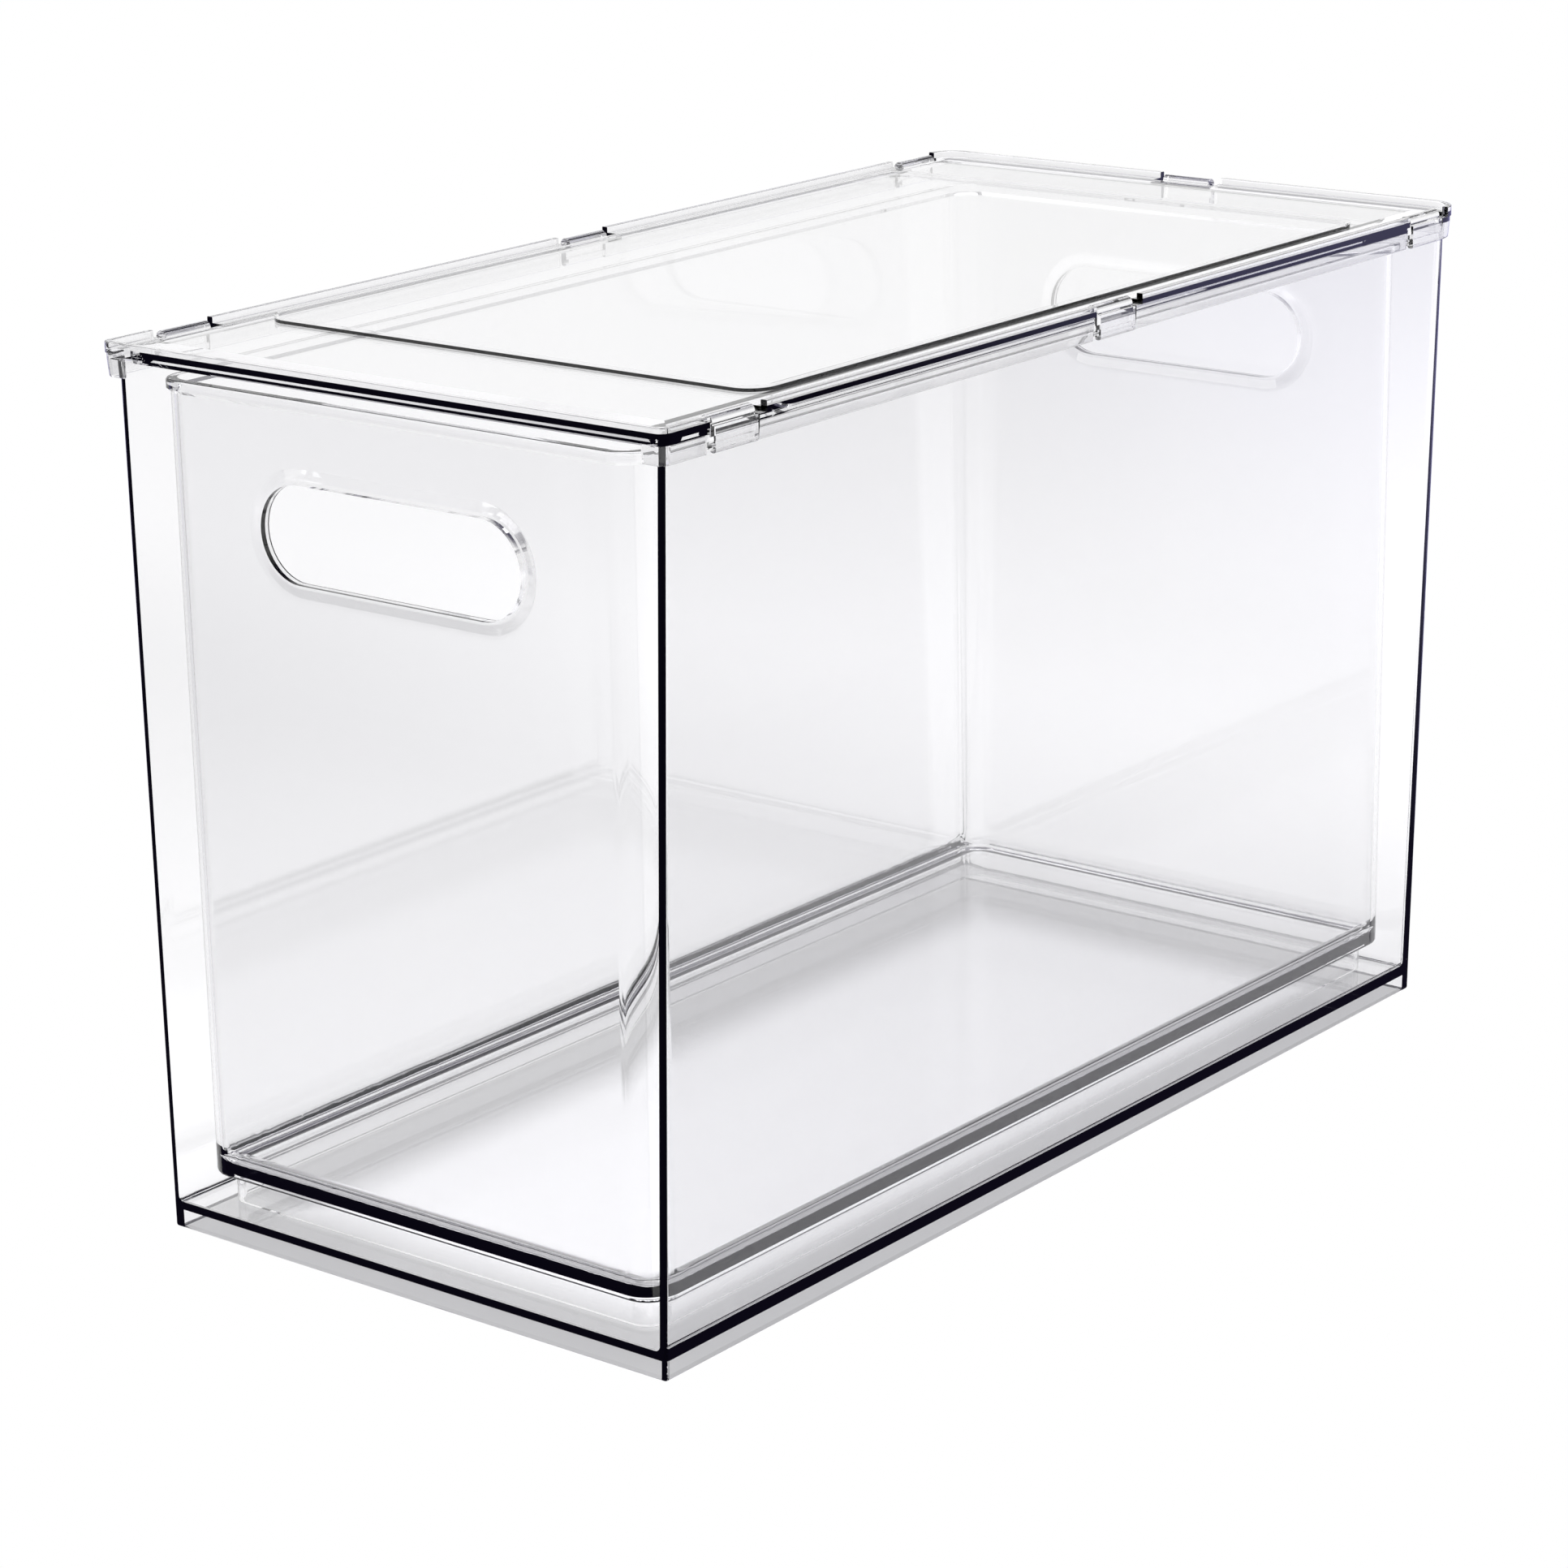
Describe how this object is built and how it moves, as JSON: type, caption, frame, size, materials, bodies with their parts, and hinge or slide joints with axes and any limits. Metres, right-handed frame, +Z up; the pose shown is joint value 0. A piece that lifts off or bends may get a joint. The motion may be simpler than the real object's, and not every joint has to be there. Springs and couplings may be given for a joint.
{
  "type": "stacking drawer unit",
  "caption": "Clear stackable storage bin: an open-fronted housing with a lipped, latched cover and a pull-out drawer with hand slots front and back.",
  "frame": {"origin": "middle of the box's underside, on the surface that the foot ring stands on", "axes": "+Z up, the open front and the drawer's hand slot face -Y, +X to the right seen from the front"},
  "size_m": [0.2044, 0.3994, 0.2646],
  "materials": {
    "clear_housing": "polished, clear",
    "clear_cover": "polished, clear",
    "clear_drawer": "polished, clear",
    "clear_clip": "polished, clear"
  },
  "bodies": {
    "housing": {"housing": "clear_housing"},
    "cover": {"cover": "clear_cover"},
    "drawer": {"drawer": "clear_drawer"},
    "clip_left_front": {"clip_left_front": "clear_clip"},
    "clip_right_front": {"clip_right_front": "clear_clip"},
    "clip_left_middle": {"clip_left_middle": "clear_clip"},
    "clip_right_middle": {"clip_right_middle": "clear_clip"},
    "clip_left_rear": {"clip_left_rear": "clear_clip"},
    "clip_right_rear": {"clip_right_rear": "clear_clip"},
    "clip_back": {"clip_back": "clear_clip"}
  },
  "joints": [
    {"name": "drawer_slide", "type": "slide", "parent": "housing", "child": "drawer", "axis": [0, -1, 0], "range_m": [0, 0.3]},
    {"name": "cover_lift", "type": "slide", "parent": "housing", "child": "cover", "axis": [0, 0, 1], "range_m": [0, 0.05]},
    {"name": "clip_left_front_flex", "type": "hinge", "parent": "housing", "child": "clip_left_front", "pos_m": [-0.1002, -0.1699, 0.2561], "axis": [0, -1, 0], "range_deg": [0, 6], "stiffness_Nm_per_rad": 0.05},
    {"name": "clip_right_front_flex", "type": "hinge", "parent": "housing", "child": "clip_right_front", "pos_m": [0.1002, -0.1699, 0.2561], "axis": [0, 1, 0], "range_deg": [0, 6], "stiffness_Nm_per_rad": 0.05},
    {"name": "clip_left_middle_flex", "type": "hinge", "parent": "housing", "child": "clip_left_middle", "pos_m": [-0.1002, 0.0044, 0.2561], "axis": [0, -1, 0], "range_deg": [0, 6], "stiffness_Nm_per_rad": 0.05},
    {"name": "clip_right_middle_flex", "type": "hinge", "parent": "housing", "child": "clip_right_middle", "pos_m": [0.1002, 0.0044, 0.2561], "axis": [0, 1, 0], "range_deg": [0, 6], "stiffness_Nm_per_rad": 0.05},
    {"name": "clip_left_rear_flex", "type": "hinge", "parent": "housing", "child": "clip_left_rear", "pos_m": [-0.1002, 0.1778, 0.2561], "axis": [0, -1, 0], "range_deg": [0, 6], "stiffness_Nm_per_rad": 0.05},
    {"name": "clip_right_rear_flex", "type": "hinge", "parent": "housing", "child": "clip_right_rear", "pos_m": [0.1002, 0.1778, 0.2561], "axis": [0, 1, 0], "range_deg": [0, 6], "stiffness_Nm_per_rad": 0.05},
    {"name": "clip_back_flex", "type": "hinge", "parent": "housing", "child": "clip_back", "pos_m": [0, 0.19765, 0.2561], "axis": [-1, 0, 0], "range_deg": [0, 6], "stiffness_Nm_per_rad": 0.05}
  ]
}
